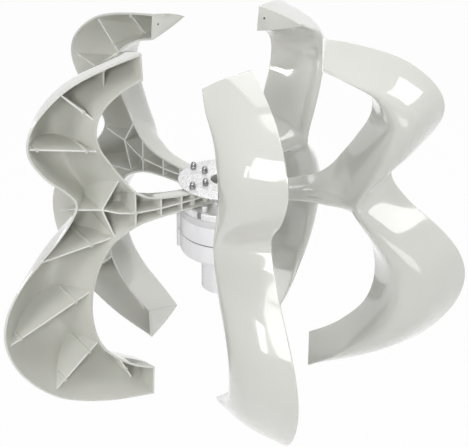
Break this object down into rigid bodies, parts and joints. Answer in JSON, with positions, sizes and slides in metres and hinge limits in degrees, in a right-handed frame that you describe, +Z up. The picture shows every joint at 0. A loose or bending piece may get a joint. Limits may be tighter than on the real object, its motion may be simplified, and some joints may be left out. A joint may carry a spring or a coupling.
{
  "type": "vertical axis turbine",
  "caption": "Small vertical axis wind turbine: scoop-shaped double-lobed blades on a clamped hub, driving a cylindrical generator with a clamping socket for a pole.",
  "frame": {"origin": "centre of the pole socket's open lower mouth, on the rotor axis", "axes": "+Z up along the rotor axis, from the pole socket to the hub; the blades' positions around it are at rest as given by the source's first blade angle"},
  "size_m": [0.5295, 0.5494, 0.431],
  "materials": {
    "blade_plastic": "glossy moulded nylon, warm light grey, satin on the ribbed side",
    "white_paint": "smooth white gloss paint",
    "cover_grey": "satin light grey",
    "cast_aluminium": "speckled as-cast silver",
    "plated_steel": "bright plated",
    "shaft_steel": "ground",
    "magnet_grey": "dark nickel-plated magnet",
    "lamination": "dark stacked sheet steel",
    "copper": "enamelled copper wire",
    "rubber": "black moulded"
  },
  "bodies": {
    "stator": {"lower_bearing_outer_race": "shaft_steel", "upper_bearing_outer_race": "shaft_steel", "stator_core": "lamination", "stator_winding": "copper", "casing_lower": "white_paint", "casing_upper": "white_paint", "casing_cover": "cover_grey", "pole_socket": "white_paint", "shaft_seal": "rubber", "cable_grommet": "rubber", "clamp_screw_1": "plated_steel", "clamp_screw_2": "plated_steel", "casing_screw_1": "plated_steel", "casing_screw_2": "plated_steel", "casing_screw_3": "plated_steel"},
    "rotor": {"blade_1": "blade_plastic", "blade_2": "blade_plastic", "blade_3": "blade_plastic", "blade_4": "blade_plastic", "blade_5": "blade_plastic", "hub_top_plate": "plated_steel", "hub_flange": "cast_aluminium", "blade_bolt_1": "plated_steel", "dome_nut_1": "plated_steel", "blade_bolt_2": "plated_steel", "dome_nut_2": "plated_steel", "blade_bolt_3": "plated_steel", "dome_nut_3": "plated_steel", "blade_bolt_4": "plated_steel", "dome_nut_4": "plated_steel", "blade_bolt_5": "plated_steel", "dome_nut_5": "plated_steel", "blade_bolt_6": "plated_steel", "dome_nut_6": "plated_steel", "blade_bolt_7": "plated_steel", "dome_nut_7": "plated_steel", "blade_bolt_8": "plated_steel", "dome_nut_8": "plated_steel", "blade_bolt_9": "plated_steel", "dome_nut_9": "plated_steel", "blade_bolt_10": "plated_steel", "dome_nut_10": "plated_steel", "shaft": "shaft_steel", "shaft_key": "shaft_steel", "shaft_washer": "plated_steel", "shaft_nut": "plated_steel", "rotor_core": "lamination", "magnet_1": "magnet_grey", "magnet_2": "magnet_grey", "magnet_3": "magnet_grey", "magnet_4": "magnet_grey", "magnet_5": "magnet_grey", "magnet_6": "magnet_grey", "magnet_7": "magnet_grey", "magnet_8": "magnet_grey", "lower_bearing_inner_race": "shaft_steel", "lower_bearing_balls": "shaft_steel", "upper_bearing_inner_race": "shaft_steel", "upper_bearing_balls": "shaft_steel"}
  },
  "joints": [
    {"name": "rotor_spin", "type": "hinge", "parent": "stator", "child": "rotor", "pos_m": [0, 0, 0.1], "axis": [0, 0, 1], "continuous": true}
  ]
}
